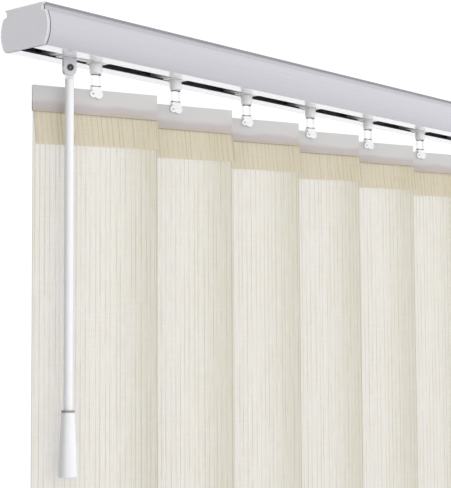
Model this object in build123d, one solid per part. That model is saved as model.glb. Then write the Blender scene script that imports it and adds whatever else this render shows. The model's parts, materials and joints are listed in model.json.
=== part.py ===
from build123d import *
from math import cos, radians, sin
import os

# A vertical blind: a bulged aluminium headrail, carriers that run along its slot and turn
# on worm gears, and a fabric vane hanging from each carrier. A wand draws and turns them.
# The origin is the middle of the rail's top face. +X runs along the rail to the right as
# seen from the room, -Y faces the room and +Z is up. Lengths are millimetres, angles degrees.

# Whole blind
VANE_COUNT = 7
VANE_PITCH = 77.5
VANE_WIDTH = 89.0
OVERALL_DROP = 914.0
END_MARGIN = 63.0
REST_TILT = 21.0

# Fits shared by all the pieces
RUN_GAP = 0.06
GLIDE_GAP = 0.1
SEAT_GAP = 0.15
FREE_GAP = 0.3
CUT_OVERRUN = 2.0

# Headrail section
RAIL_HEIGHT = 27.5
RAIL_TOP_WIDTH = 36.8
RAIL_BULGE_WIDTH = 45.2
RAIL_FOOT_WIDTH = 37.6
RAIL_SHOULDER_WIDTH = 40.0
RAIL_WALL = 1.3
BULGE_DROP = 13.8
LIP_EDGE = 1.2
GROOVE_DEPTH = 1.4
GROOVE_HEIGHT = 3.0
GROOVE_SLOPE = 0.6
FOOT_ROUND = 0.7
SLOT_WIDTH = 12.2

# End caps
CAP_PLATE = 2.5
CAP_SEAM = 0.6
CAP_EDGE_ROUND = 0.6
CAP_PLUG_DEPTH = 7.0
CAP_PLUG_WALL = 1.6
CAP_PLUG_OPENING = 9.0
BEARING_WALL = 1.4

# Tilt rod and the gears on it
ROD_RADIUS = 2.3
FLUTE_COUNT = 4
FLUTE_RADIUS = 0.7
WORM_RADIUS = 3.9
WORM_LENGTH = 12.0
WORM_COLLAR_LENGTH = 1.4
WORM_COLLAR_RADIUS = 4.3
WHEEL_TEETH = 16
WHEEL_MODULE = 0.7
WHEEL_HEIGHT = 5.0
DRIVE_TEETH = 19
DRIVE_TOOTH_HEIGHT = 0.7
TOOTH_ROOT_share = 0.62
TOOTH_TIP_share = 0.26

# Carriers and the lead carriage
CARRIER_LENGTH = 20.0
LEAD_LENGTH = 22.0
CARRIER_WIDTH = 32.0
CARRIER_ROUND = 2.0
CARRIER_FLOOR = 7.5
CARRIER_RIM = 1.0
SHOULDER_CUT = 2.0
SHOULDER_DROP = 6.0
STEM_RADIUS = 3.0
KEEL_LENGTH = 16.0
KEEL_RECESS = 0.4
KEEL_SIDE_GAP = 0.4
LATCH_RADIUS = 1.5
LATCH_DEPTH = 4.0
LATCH_DROP = 3.0
LATCH_SETBACK = 4.5

# Lead link and end stop
LINK_WIDTH = 4.0
LINK_PEG_RADIUS = 1.2
LINK_PEG_HEIGHT = 2.4
LINK_KEEL_END = 5.0
LINK_PEG_SETBACK = 2.6
STOP_LENGTH = 6.0
STOP_HEIGHT = 6.6

# Spacer strips
SPACER_WIDTH = 6.4
SPACER_THICK = 0.6
SPACER_RISE = 6.2
SPACER_FOOT = 5.0
SPACER_FOOT_SETBACK = 6.0
SPACER_EDGE = 1.4

# Hooks
CUP_GAP = 0.2
CUP_TOP_RADIUS = 4.5
CUP_FOOT_RADIUS = 4.1
CUP_HEIGHT = 7.0
CUP_ROUND = 0.5
BLADE_WIDTH = 6.8
BLADE_THICK = 2.0
WINDOW_WIDTH = 4.9
WINDOW_BAR = 0.8
WINDOW_CORNER = 0.6
JAW_ROOT = 1.9
JAW_THICK = 1.2
JAW_RADIUS = 3.1
JAW_SHIFT = 1.3
JAW_ROUND = 0.35
EAR_RADIUS = 2.4
PEG_RADIUS = 1.3
PEG_BORE = 0.7
PEG_SHIFT = 2.7
PEG_DROP = 2.9

# Hanger strips
HANGER_DROP = 45.4
HANGER_HEIGHT = 17.0
HANGER_THICK = 2.0
HANGER_CORNER = 0.5
HANGER_GRIP = 5.0

# Fabric vanes and their weights
CLOTH = 0.4
FOLD_GAP = 0.1
HEM_HEIGHT = 21.0
POCKET_HEIGHT = 38.0
POCKET_SLOPE = 6.0
POCKET_SEAM = 4.0
WEIGHT_HEIGHT = 34.0
WEIGHT_THICK = 2.0
WEIGHT_SIDE_GAP = 2.0
WEIGHT_CORNER = 3.0

# Wand
WAND_OFFSET = 23.8
WAND_TURN = 28.0
CLEVIS_WIDTH = 8.5
CLEVIS_THICK = 5.0
CLEVIS_HEIGHT = 11.8
CLEVIS_CORNER = 3.6
PIN_DROP = 6.7
PIN_RADIUS = 1.7
PIN_HEAD_RADIUS = 2.2
PIN_HEAD = 0.5
PIN_BORE = 0.9
EYE_RADIUS = 4.0
EYE_THICK = 2.4
EYE_NECK = 6.4
WAND_RADIUS = 3.0
WAND_LENGTH = 221.8
WAND_SHOULDER = 1.4
GRIP_LENGTH = 43.0
GRIP_TOP_RADIUS = 4.4
GRIP_FOOT_RADIUS = 6.2
GRIP_RING = 1.2
GRIP_RING_DEPTH = 0.4
GRIP_ROUND = 1.6
GRIP_SOCKET = 30.0

# Places along the rail
OVERALL_LENGTH = END_MARGIN * 2 + VANE_PITCH * (VANE_COUNT - 1)
RAIL_LENGTH = OVERALL_LENGTH - CAP_PLATE * 2
HOOK_X = [VANE_PITCH * (index - (VANE_COUNT - 1) / 2) for index in range(VANE_COUNT)]
WAND_X = HOOK_X[0] - WAND_OFFSET

# Heights, counted from the rail's top face
FLOOR_Z = RAIL_WALL - RAIL_HEIGHT
CARRIER_Z = FLOOR_Z + GLIDE_GAP
POCKET_Z = CARRIER_Z + CARRIER_FLOOR
WHEEL_Z = POCKET_Z + GLIDE_GAP
ROD_Z = WHEEL_Z + WHEEL_HEIGHT / 2
WHEEL_TOP_Z = WHEEL_Z + WHEEL_HEIGHT
CARRIER_TOP_Z = WHEEL_TOP_Z + CARRIER_RIM
KEEL_Z = KEEL_RECESS - RAIL_HEIGHT
CUP_Z = KEEL_Z - CUP_GAP
CUP_FOOT_Z = CUP_Z - CUP_HEIGHT
HANGER_Z = -HANGER_DROP
HANGER_FOOT_Z = HANGER_Z - HANGER_HEIGHT
JAW_Z = HANGER_Z + SEAT_GAP
PEG_Z = HANGER_Z - PEG_DROP
CLOTH_TOP_Z = HANGER_FOOT_Z + HANGER_GRIP - SEAT_GAP
CLOTH_FOOT_Z = -OVERALL_DROP
HEM_Z = HANGER_FOOT_Z - HEM_HEIGHT
PIN_Z = CUP_Z - PIN_DROP
GRIP_Z = PIN_Z - WAND_LENGTH

# Gear sizes that follow from the ones above
WHEEL_RADIUS = WHEEL_MODULE * WHEEL_TEETH / 2
WHEEL_TIP = WHEEL_RADIUS + WHEEL_MODULE
WHEEL_ROOT = WHEEL_RADIUS - WHEEL_MODULE
ROD_Y = WHEEL_RADIUS + WORM_RADIUS
WORM_CORE = ROD_Y - WHEEL_TIP - SEAT_GAP
DRIVE_TIP = (ROD_Y + DRIVE_TOOTH_HEIGHT) / 2
DRIVE_DRUM = ROD_Y - DRIVE_TIP - SEAT_GAP
POCKET_RADIUS = max(WHEEL_TIP, DRIVE_TIP) + FREE_GAP
TROUGH_RADIUS = max(WORM_COLLAR_RADIUS, DRIVE_DRUM) + FREE_GAP
TROUGH_LENGTH = WORM_LENGTH + FREE_GAP * 2
NECK_INSIDE = RAIL_TOP_WIDTH - (GROOVE_DEPTH + RAIL_WALL) * 2
SPACER_Y = SPACER_EDGE + (SPACER_WIDTH - NECK_INSIDE) / 2
HANGER_GROOVE = CLOTH * 2 + FOLD_GAP * 2

LOW = (Align.CENTER, Align.CENTER, Align.MIN)
HIGH = (Align.CENTER, Align.CENTER, Align.MAX)


def rail_outline(inset):
    """The rail's closed outline, drawn inwards by inset, with Y across and Z up the page."""
    top = RAIL_TOP_WIDTH / 2
    neck = top - GROOVE_DEPTH
    shoulder = RAIL_SHOULDER_WIDTH / 2
    bulge = RAIL_BULGE_WIDTH / 2
    foot = RAIL_FOOT_WIDTH / 2
    groove_top = -LIP_EDGE - GROOVE_SLOPE
    groove_foot = groove_top - GROOVE_HEIGHT
    lip = Polyline(
        (0, 0),
        (top, 0),
        (top, -LIP_EDGE),
        (neck, groove_top),
        (neck, groove_foot),
        (shoulder, groove_foot - GROOVE_SLOPE),
    )
    side = ThreePointArc(lip @ 1, (bulge, -BULGE_DROP), (foot, -RAIL_HEIGHT))
    base = Polyline(side @ 1, (0, -RAIL_HEIGHT), (0, 0))
    half = make_face(Curve() + [lip, side, base])
    whole = half + mirror(half, about=Plane.YZ)
    corners = whole.vertices().group_by(Axis.Y)[0].sort_by(Axis.X)
    whole = fillet([corners[0], corners[-1]], FOOT_ROUND)
    if inset > 0:
        whole = offset(whole, -inset, kind=Kind.INTERSECTION)
    return whole


def along_rail(sketch, start, length):
    """Extrude a section drawn in Y and Z along the rail from a start place."""
    return extrude(Plane.YZ.offset(start) * sketch, length)


def headrail():
    """The rail: one hollow extrusion with a slot along its underside and clip grooves at its top."""
    slot = Pos(0, -RAIL_HEIGHT) * Rectangle(SLOT_WIDTH, RAIL_WALL * 2)
    section = rail_outline(0) - rail_outline(RAIL_WALL) - slot
    return along_rail(section, -RAIL_LENGTH / 2, RAIL_LENGTH)


def end_cap():
    """The left cap: a plate flush with the rail past a shadow seam, a plug and a bearing for the rod."""
    outer_x = -OVERALL_LENGTH / 2
    seat_x = -RAIL_LENGTH / 2
    plate = along_rail(rail_outline(0), outer_x, CAP_PLATE - CAP_SEAM)
    plate = fillet(plate.faces().sort_by(Axis.X)[0].edges(), CAP_EDGE_ROUND)
    plate += along_rail(rail_outline(CAP_SEAM), seat_x - CAP_SEAM, CAP_SEAM)
    plug_inset = RAIL_WALL + SEAT_GAP
    ring = rail_outline(plug_inset) - rail_outline(plug_inset + CAP_PLUG_WALL)
    opening = Pos(0, -RAIL_HEIGHT) * Rectangle(RAIL_BULGE_WIDTH, CAP_PLUG_OPENING * 2)
    plug = along_rail(ring - opening, seat_x, CAP_PLUG_DEPTH)
    journal = Pos(ROD_Y, ROD_Z) * Circle(ROD_RADIUS + RUN_GAP)
    boss = Pos(ROD_Y, ROD_Z) * Circle(ROD_RADIUS + RUN_GAP + BEARING_WALL)
    bearing = along_rail(boss - journal, seat_x, CAP_PLUG_DEPTH)
    return plate + plug + bearing


def tilt_rod():
    """The fluted rod that runs from cap to cap and turns every worm."""
    section = Circle(ROD_RADIUS) - PolarLocations(ROD_RADIUS, FLUTE_COUNT) * Circle(FLUTE_RADIUS)
    length = RAIL_LENGTH - GLIDE_GAP * 2
    return along_rail(Pos(ROD_Y, ROD_Z) * section, -length / 2, length)


def rod_bore():
    """The keyed bore of a gear on the rod, with a rib in each flute."""
    ribs = PolarLocations(ROD_RADIUS + RUN_GAP, FLUTE_COUNT) * Circle(FLUTE_RADIUS - SEAT_GAP)
    return Circle(ROD_RADIUS + RUN_GAP) - ribs


def worm(x):
    """A worm sleeve on the rod, between two collars; its thread is left plain at the core size."""
    place = Pos(ROD_Y, ROD_Z)
    core = along_rail(place * (Circle(WORM_CORE) - rod_bore()), -WORM_LENGTH / 2, WORM_LENGTH)
    collar = place * (Circle(WORM_COLLAR_RADIUS) - Circle(WORM_CORE))
    left = along_rail(collar, -WORM_LENGTH / 2, WORM_COLLAR_LENGTH)
    return Pos(x, 0, 0) * (core + left + mirror(left, about=Plane.YZ))


def drive_gear(x):
    """The drum on the rod that the wand's spindle turns."""
    section = Pos(ROD_Y, ROD_Z) * (Circle(DRIVE_DRUM) - rod_bore())
    return Pos(x, 0, 0) * along_rail(section, -WORM_LENGTH / 2, WORM_LENGTH)


def toothed_wheel(teeth, root, tip):
    """A wheel with straight-sided teeth at the rod's height, on a vertical axis."""
    step = 360 / teeth
    points = []
    for index in range(teeth):
        for radius, turn in (
            (root, -TOOTH_ROOT_share),
            (tip, -TOOTH_TIP_share),
            (tip, TOOTH_TIP_share),
            (root, TOOTH_ROOT_share),
        ):
            angle = radians(step * (index + turn / 2))
            points.append((radius * cos(angle), radius * sin(angle)))
    face = make_face(Polyline(points, close=True))
    return extrude(Pos(0, 0, WHEEL_Z) * face, WHEEL_HEIGHT)


def carriage(length, keel_left, keel_right):
    """A moulded carriage: a pocket for the wheel, a trough for the worm and a keel in the slot."""
    height = CARRIER_TOP_Z - CARRIER_Z
    body = Pos(0, 0, CARRIER_Z) * Box(length, CARRIER_WIDTH, height, align=LOW)
    body = fillet(body.edges().filter_by(Axis.Z), CARRIER_ROUND)
    back_step = Box(length + CUT_OVERRUN, SHOULDER_CUT * 2, SHOULDER_DROP, align=HIGH)
    body -= Pos(0, CARRIER_WIDTH / 2, CARRIER_TOP_Z) * back_step
    keel_width = SLOT_WIDTH - KEEL_SIDE_GAP * 2
    keel_length = keel_left + keel_right
    keel = Box(keel_length, keel_width, CARRIER_Z - KEEL_Z, align=HIGH)
    keel = fillet(keel.edges().filter_by(Axis.Z), CARRIER_ROUND)
    body += Pos((keel_right - keel_left) / 2, 0, CARRIER_Z) * keel
    pocket = Cylinder(POCKET_RADIUS, height, align=LOW)
    stem = Cylinder(STEM_RADIUS + RUN_GAP, height, align=HIGH)
    body -= Pos(0, 0, POCKET_Z) * pocket
    body -= Pos(0, 0, POCKET_Z) * stem
    for radius, reach in ((TROUGH_RADIUS, TROUGH_LENGTH), (ROD_RADIUS + FREE_GAP, length + CUT_OVERRUN)):
        round_floor = Cylinder(radius, reach, rotation=(0, 90, 0))
        open_top = Box(reach, radius * 2, height, align=LOW)
        body -= Pos(0, ROD_Y, ROD_Z) * (round_floor + open_top)
    return body


def latch_hole(length):
    """The blind hole in a carriage's right end that the end stop's peg enters."""
    hole = Cylinder(LATCH_RADIUS + RUN_GAP, LATCH_DEPTH + CUT_OVERRUN, rotation=(0, 90, 0))
    middle = (length - LATCH_DEPTH + CUT_OVERRUN) / 2
    return Pos(middle, LATCH_SETBACK - CARRIER_WIDTH / 2, CARRIER_Z + LATCH_DROP) * hole


def link_peg_places():
    """Where the link's pegs enter the lead carriage and the first carrier."""
    lead = WAND_X + LEAD_LENGTH / 2 - LINK_PEG_SETBACK
    first = HOOK_X[0] - CARRIER_LENGTH / 2 + LINK_PEG_SETBACK
    return [lead, first]


def link_pegs(radius):
    """The link's two pegs at a radius, which is larger for the holes that take them."""
    return [Pos(x, 0, CARRIER_Z) * Cylinder(radius, LINK_PEG_HEIGHT, align=LOW) for x in link_peg_places()]


def carrier(index):
    """One vane's carrier; the first has a shorter keel and a hole for the lead link."""
    first = index == 0
    keel_left = LINK_KEEL_END if first else KEEL_LENGTH / 2
    body = carriage(CARRIER_LENGTH, keel_left, KEEL_LENGTH / 2) - latch_hole(CARRIER_LENGTH)
    body = Pos(HOOK_X[index], 0, 0) * body
    if first:
        body -= link_pegs(LINK_PEG_RADIUS + RUN_GAP)[1]
    return body


def lead_carriage():
    """The carriage that carries the wand's spindle at the head of the row."""
    body = Pos(WAND_X, 0, 0) * carriage(LEAD_LENGTH, KEEL_LENGTH / 2, LINK_KEEL_END)
    return body - link_pegs(LINK_PEG_RADIUS + RUN_GAP)[0]


def lead_link():
    """The bar in the slot that ties the lead carriage to the first carrier."""
    left = WAND_X + LINK_KEEL_END + SEAT_GAP
    right = HOOK_X[0] - LINK_KEEL_END - SEAT_GAP
    bar = Box(right - left, LINK_WIDTH, CARRIER_Z - KEEL_Z, align=HIGH)
    bar = Pos((left + right) / 2, 0, CARRIER_Z) * bar
    return bar + link_pegs(LINK_PEG_RADIUS)


def end_stop():
    """The block past the last carrier, with the peg that keeps that carrier in place."""
    left = HOOK_X[-1] + CARRIER_LENGTH / 2 + GLIDE_GAP
    block = Box(STOP_LENGTH, CARRIER_WIDTH, STOP_HEIGHT, align=LOW)
    keel = Box(STOP_LENGTH, SLOT_WIDTH - KEEL_SIDE_GAP * 2, FLOOR_Z - KEEL_Z, align=HIGH)
    body = Pos(left + STOP_LENGTH / 2, 0, FLOOR_Z) * (block + keel)
    reach = LATCH_DEPTH - SEAT_GAP
    peg = Cylinder(LATCH_RADIUS, reach, rotation=(0, -90, 0), align=LOW)
    return body + Pos(left, LATCH_SETBACK - CARRIER_WIDTH / 2, CARRIER_Z + LATCH_DROP) * peg


def spacer(index):
    """The strip on one carrier that reaches back over the carrier to its left."""
    foot_left = -SPACER_FOOT_SETBACK
    foot_right = foot_left + SPACER_FOOT
    tip = -VANE_PITCH - SPACER_FOOT
    outline = Polyline(
        (foot_right, 0),
        (foot_right, SPACER_THICK),
        (foot_left, SPACER_THICK),
        (tip, SPACER_THICK + SPACER_RISE),
        (tip, SPACER_RISE),
        (foot_left, 0),
        close=True,
    )
    strip = extrude(Plane.XZ * make_face(outline), SPACER_WIDTH / 2, both=True)
    return Pos(HOOK_X[index], SPACER_Y, CARRIER_TOP_Z) * strip


def at_vane(index):
    """The place of a vane's own axes: at its hook, turned by the tilt at rest."""
    return Pos(HOOK_X[index], 0, 0) * Rotation(0, 0, -REST_TILT)


def through(sketch, thickness):
    """Extrude a shape drawn in X and Z to both sides of the vane's middle plane."""
    return extrude(Plane.XZ * sketch, thickness / 2, both=True)


def hook():
    """The moulded hook: toothed wheel, stem, cup, windowed blade and the two jaws on the hanger."""
    body = toothed_wheel(WHEEL_TEETH, WHEEL_ROOT, WHEEL_TIP)
    body += Pos(0, 0, WHEEL_Z) * Cylinder(STEM_RADIUS, WHEEL_Z - CUP_Z, align=HIGH)
    cup = Cone(CUP_FOOT_RADIUS, CUP_TOP_RADIUS, CUP_HEIGHT, align=HIGH)
    cup = fillet(cup.edges().sort_by(Axis.Z)[0], CUP_ROUND)
    body += Pos(0, 0, CUP_Z) * cup
    jaw_top = JAW_Z + JAW_ROOT
    blade_height = CUP_FOOT_Z - jaw_top
    blade_middle = (CUP_FOOT_Z + jaw_top) / 2
    blade = Rectangle(BLADE_WIDTH, blade_height)
    window = RectangleRounded(WINDOW_WIDTH, blade_height - WINDOW_BAR * 2, WINDOW_CORNER)
    body += Pos(0, 0, blade_middle) * through(blade - window, BLADE_THICK)
    grip = HANGER_THICK + SEAT_GAP * 2
    outside = grip + JAW_THICK * 2
    root = Pos(0, (jaw_top + PEG_Z) / 2) * Rectangle(BLADE_WIDTH, jaw_top - PEG_Z)
    clip = through(root, outside)
    for x, radius in ((JAW_SHIFT, JAW_RADIUS), (-PEG_SHIFT, EAR_RADIUS)):
        lobe = through(Pos(x, PEG_Z) * Circle(radius), outside)
        clip += fillet(lobe.edges().filter_by(GeomType.CIRCLE), JAW_ROUND)
    reach = PEG_SHIFT + EAR_RADIUS + JAW_SHIFT + JAW_RADIUS
    mouth_height = JAW_Z - PEG_Z + JAW_RADIUS + CUT_OVERRUN
    clip -= Pos(0, 0, JAW_Z) * Box(reach * 2, grip, mouth_height, align=HIGH)
    clip += through(Pos(-PEG_SHIFT, PEG_Z) * Circle(PEG_RADIUS), outside)
    return body + clip - through(Pos(-PEG_SHIFT, PEG_Z) * Circle(PEG_BORE), outside + CUT_OVERRUN)


def hanger():
    """The full-width hanger strip, grooved along its foot to grip the cloth."""
    middle = (HANGER_Z + HANGER_FOOT_Z) / 2
    outline = Pos(0, middle) * RectangleRounded(VANE_WIDTH, HANGER_HEIGHT, HANGER_CORNER)
    hole = Pos(-PEG_SHIFT, PEG_Z) * Circle(PEG_RADIUS + SEAT_GAP)
    strip = through(outline - hole, HANGER_THICK)
    groove = Box(VANE_WIDTH + CUT_OVERRUN, HANGER_GROOVE, HANGER_GRIP + CUT_OVERRUN, align=HIGH)
    return strip - Pos(0, 0, HANGER_FOOT_Z + HANGER_GRIP) * groove


def cloth_levels():
    """How far behind its middle plane a vane's panel starts and ends, and its pocket ends."""
    face = FOLD_GAP / 2
    behind = face + CLOTH
    pocket = behind + WEIGHT_THICK + SEAT_GAP * 2
    return face, behind, pocket


def vane():
    """The fabric vane: folded over to the front at its top, with a weight pocket behind its foot."""
    face, behind, pocket = cloth_levels()
    back = pocket + CLOTH
    pocket_top = CLOTH_FOOT_Z + POCKET_HEIGHT
    seam = pocket_top + POCKET_SLOPE
    seam_top = seam + POCKET_SEAM
    fold = CLOTH_TOP_Z - CLOTH
    outline = Polyline(
        (-behind, CLOTH_TOP_Z),
        (-behind, HEM_Z),
        (-face, HEM_Z),
        (-face, fold),
        (face, fold),
        (face, CLOTH_FOOT_Z),
        (back, CLOTH_FOOT_Z),
        (back, pocket_top),
        (behind + CLOTH, seam),
        (behind + CLOTH, seam_top),
        (behind, seam_top),
        (behind, CLOTH_TOP_Z),
        close=True,
    )
    inside = Polyline(
        (behind, CLOTH_FOOT_Z + CLOTH),
        (pocket, CLOTH_FOOT_Z + CLOTH),
        (pocket, pocket_top),
        (behind, seam),
        close=True,
    )
    section = make_face(outline) - make_face(inside)
    return extrude(Plane.YZ * section, VANE_WIDTH / 2, both=True)


def weight():
    """The flat weight that lies in the pocket at a vane's foot."""
    _, behind, pocket = cloth_levels()
    foot = CLOTH_FOOT_Z + CLOTH + SEAT_GAP
    plate = RectangleRounded(VANE_WIDTH - WEIGHT_SIDE_GAP * 2, WEIGHT_HEIGHT, WEIGHT_CORNER)
    plate = through(Pos(0, foot + WEIGHT_HEIGHT / 2) * plate, WEIGHT_THICK)
    return Pos(0, (behind + pocket) / 2, 0) * plate


def at_wand():
    """The place of the wand's own axes: under the lead carriage, turned as it hangs at rest."""
    return Pos(WAND_X, 0, 0) * Rotation(0, 0, -WAND_TURN)


def wand_yoke():
    """The wand's spindle, with its gear in the lead carriage and a clevis under the rail."""
    body = toothed_wheel(DRIVE_TEETH, DRIVE_TIP - DRIVE_TOOTH_HEIGHT, DRIVE_TIP)
    body += Pos(0, 0, WHEEL_Z) * Cylinder(STEM_RADIUS, WHEEL_Z - CUP_Z, align=HIGH)
    block = Pos(0, CUP_Z - CLEVIS_HEIGHT / 2) * Rectangle(CLEVIS_WIDTH, CLEVIS_HEIGHT)
    block = fillet(block.vertices().group_by(Axis.Y)[0], CLEVIS_CORNER)
    clevis = through(block - Pos(0, PIN_Z) * Circle(PIN_RADIUS + RUN_GAP), CLEVIS_THICK)
    gap_top = PIN_Z + EYE_RADIUS + FREE_GAP
    gap = Box(CLEVIS_WIDTH + CUT_OVERRUN, EYE_THICK + FREE_GAP, CLEVIS_HEIGHT, align=HIGH)
    return body + (clevis - Pos(0, 0, gap_top) * gap)


def wand_pin():
    """The hollow rivet that the wand swings on."""
    shank = through(Pos(0, PIN_Z) * Circle(PIN_RADIUS), CLEVIS_THICK)
    head = through(Pos(0, PIN_Z) * Circle(PIN_HEAD_RADIUS), PIN_HEAD)
    middle = (CLEVIS_THICK + PIN_HEAD) / 2
    rivet = shank + Pos(0, middle, 0) * head + Pos(0, -middle, 0) * head
    return rivet - through(Pos(0, PIN_Z) * Circle(PIN_BORE), CLEVIS_THICK + CUT_OVERRUN)


def wand_rod():
    """The wand's round rod, flattened at its top to an eye on the rivet."""
    neck_height = EYE_NECK + WAND_SHOULDER
    neck = Pos(0, PIN_Z - neck_height / 2) * Rectangle(WAND_RADIUS * 2, neck_height)
    eye = Pos(0, PIN_Z) * Circle(EYE_RADIUS) + neck - Pos(0, PIN_Z) * Circle(PIN_RADIUS + RUN_GAP)
    shoulder_z = PIN_Z - EYE_NECK
    length = shoulder_z - GRIP_Z + GRIP_SOCKET - SEAT_GAP
    shaft = Cylinder(WAND_RADIUS, length, align=HIGH)
    shaft = chamfer(shaft.edges().sort_by(Axis.Z)[-1], WAND_SHOULDER)
    return through(eye, EYE_THICK) + Pos(0, 0, shoulder_z) * shaft


def wand_grip():
    """The flared grip on the wand's foot, with a ring turned round its mouth."""
    foot_z = GRIP_Z - GRIP_LENGTH
    ring_z = GRIP_Z - GRIP_RING
    outline = Polyline(
        (0, GRIP_Z),
        (GRIP_TOP_RADIUS, GRIP_Z),
        (GRIP_TOP_RADIUS, ring_z),
        (GRIP_TOP_RADIUS - GRIP_RING_DEPTH, ring_z),
        (GRIP_TOP_RADIUS - GRIP_RING_DEPTH, ring_z - GRIP_RING_DEPTH),
        (GRIP_TOP_RADIUS, ring_z - GRIP_RING_DEPTH),
        (GRIP_FOOT_RADIUS, foot_z),
        (0, foot_z),
        close=True,
    )
    body = revolve(Plane.XZ * make_face(outline), Axis.Z)
    body = fillet(body.edges().sort_by(Axis.Z)[0], GRIP_ROUND)
    socket = Cylinder(WAND_RADIUS + RUN_GAP, GRIP_SOCKET, align=HIGH)
    return body - Pos(0, 0, GRIP_Z) * socket


def all_nodes():
    """Every node's solid by name."""
    cap = end_cap()
    nodes = {
        "headrail": headrail(),
        "end_cap_left": cap,
        "end_cap_right": mirror(cap, about=Plane.YZ),
        "end_stop": end_stop(),
        "tilt_rod": tilt_rod(),
        "lead_carriage": lead_carriage(),
        "lead_link": lead_link(),
        "drive_gear": drive_gear(WAND_X),
        "wand_yoke": at_wand() * wand_yoke(),
        "wand_pin": at_wand() * wand_pin(),
        "wand_rod": at_wand() * wand_rod(),
        "wand_grip": at_wand() * wand_grip(),
    }
    hanging = {"hook": hook(), "hanger": hanger(), "vane": vane(), "weight": weight()}
    for index in range(VANE_COUNT):
        number = index + 1
        nodes[f"carrier_{number}"] = carrier(index)
        nodes[f"worm_{number}"] = worm(HOOK_X[index])
        if index > 0:
            nodes[f"spacer_{index}"] = spacer(index)
        for name, solid in hanging.items():
            nodes[f"{name}_{number}"] = at_vane(index) * solid
    return nodes


os.makedirs("parts", exist_ok=True)
for node_name, node_solid in all_nodes().items():
    export_step(node_solid, f"parts/{node_name}.step")
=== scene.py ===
"""Dress a vertical blind: painted headrail, clear hooks, frosted hangers, woven vanes and a wand."""

import json
import logging
import math
from dataclasses import dataclass
from enum import Enum
from typing import Optional, Union

import bpy
from mathutils import Matrix, Vector

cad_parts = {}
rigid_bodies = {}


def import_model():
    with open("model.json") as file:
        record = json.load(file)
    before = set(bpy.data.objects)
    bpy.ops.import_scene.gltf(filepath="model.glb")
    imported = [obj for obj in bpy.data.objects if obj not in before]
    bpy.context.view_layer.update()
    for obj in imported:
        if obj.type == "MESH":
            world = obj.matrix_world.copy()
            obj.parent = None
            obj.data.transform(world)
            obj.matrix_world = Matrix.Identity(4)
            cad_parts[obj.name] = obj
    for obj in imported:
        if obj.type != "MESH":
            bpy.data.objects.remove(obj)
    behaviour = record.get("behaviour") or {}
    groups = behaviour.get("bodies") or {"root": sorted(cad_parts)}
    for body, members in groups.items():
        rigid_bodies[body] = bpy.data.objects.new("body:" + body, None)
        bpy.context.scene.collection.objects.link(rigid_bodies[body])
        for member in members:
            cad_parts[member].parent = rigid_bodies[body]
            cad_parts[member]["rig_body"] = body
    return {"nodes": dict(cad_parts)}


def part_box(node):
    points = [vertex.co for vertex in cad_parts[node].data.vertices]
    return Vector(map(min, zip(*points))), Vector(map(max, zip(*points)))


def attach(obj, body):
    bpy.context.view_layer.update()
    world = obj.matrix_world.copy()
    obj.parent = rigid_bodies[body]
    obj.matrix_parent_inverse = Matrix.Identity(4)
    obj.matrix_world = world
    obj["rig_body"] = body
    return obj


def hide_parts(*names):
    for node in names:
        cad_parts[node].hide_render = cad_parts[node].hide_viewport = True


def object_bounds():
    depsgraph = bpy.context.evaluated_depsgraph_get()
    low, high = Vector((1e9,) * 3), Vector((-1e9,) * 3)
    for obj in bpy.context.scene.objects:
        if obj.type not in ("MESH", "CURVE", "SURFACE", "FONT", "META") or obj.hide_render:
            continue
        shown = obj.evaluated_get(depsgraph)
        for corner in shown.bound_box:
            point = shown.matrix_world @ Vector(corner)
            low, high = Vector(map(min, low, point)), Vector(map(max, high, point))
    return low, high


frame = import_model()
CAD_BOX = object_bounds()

MM = 0.001
VANE_COUNT = 7
VANE_NUMBERS = range(1, VANE_COUNT + 1)
VANE_WIDTH = 89.0 * MM
# The flat cloths lie this far apart on their common map, so that no two have the same slubs.
CLOTH_STRIDE = 310.0 * MM
MERGE_GAP = 0.002 * MM
FLAT_ANGLE_DEG = 0.6
SHARP_ANGLE_DEG = 32.0
EDGE_SEGMENTS = 2
# The numbered sockets of a mix node that mixes colours.
MIX_BELOW = 6
MIX_ABOVE = 7
MIX_COLOUR = 2
PHOTO_WIDTH_PX = 451
PHOTO_HEIGHT_PX = 488
Socket = Union[float, int, tuple, bpy.types.NodeSocket]

log = logging.getLogger("vertical_blind")


class Slot(str, Enum):
    """The record's material slots for the new pieces; no piece is given one here."""

    RAIL = "rail_paint"
    CAP = "cap_plastic"
    INNER = "inner_plastic"
    HOOK = "hook_plastic"
    HANGER = "hanger_plastic"
    CLOTH = "vane_cloth"
    YOKE = "yoke_plastic"
    PIN = "pin_metal"
    WAND = "wand_plastic"


class RailFace(Enum):
    """The finishes of the rail's faces, by material slot."""

    OUTSIDE = 0
    INSIDE = 1
    FLANGE = 2
    LIP = 3
    SLOT = 4


class CapFace(Enum):
    """The finishes of a cap's faces, by material slot."""

    PLATE = 0
    SEAM = 1
    RIM = 2


class HookFace(Enum):
    """The finishes of a hook's faces, by material slot."""

    CUP = 0
    BLADE = 1
    WINDOW = 2


def linear(hex_colour: str) -> tuple[float, float, float, float]:
    """Turn an sRGB hex colour into linear light.

    Args:
        hex_colour: The colour as #RRGGBB.

    Returns:
        Red, green, blue and an alpha of one.
    """
    channels = [int(hex_colour[start:start + 2], 16) / 255 for start in (1, 3, 5)]
    light = [c / 12.92 if c <= 0.04045 else ((c + 0.055) / 1.055) ** 2.4 for c in channels]
    return (light[0], light[1], light[2], 1.0)


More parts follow.
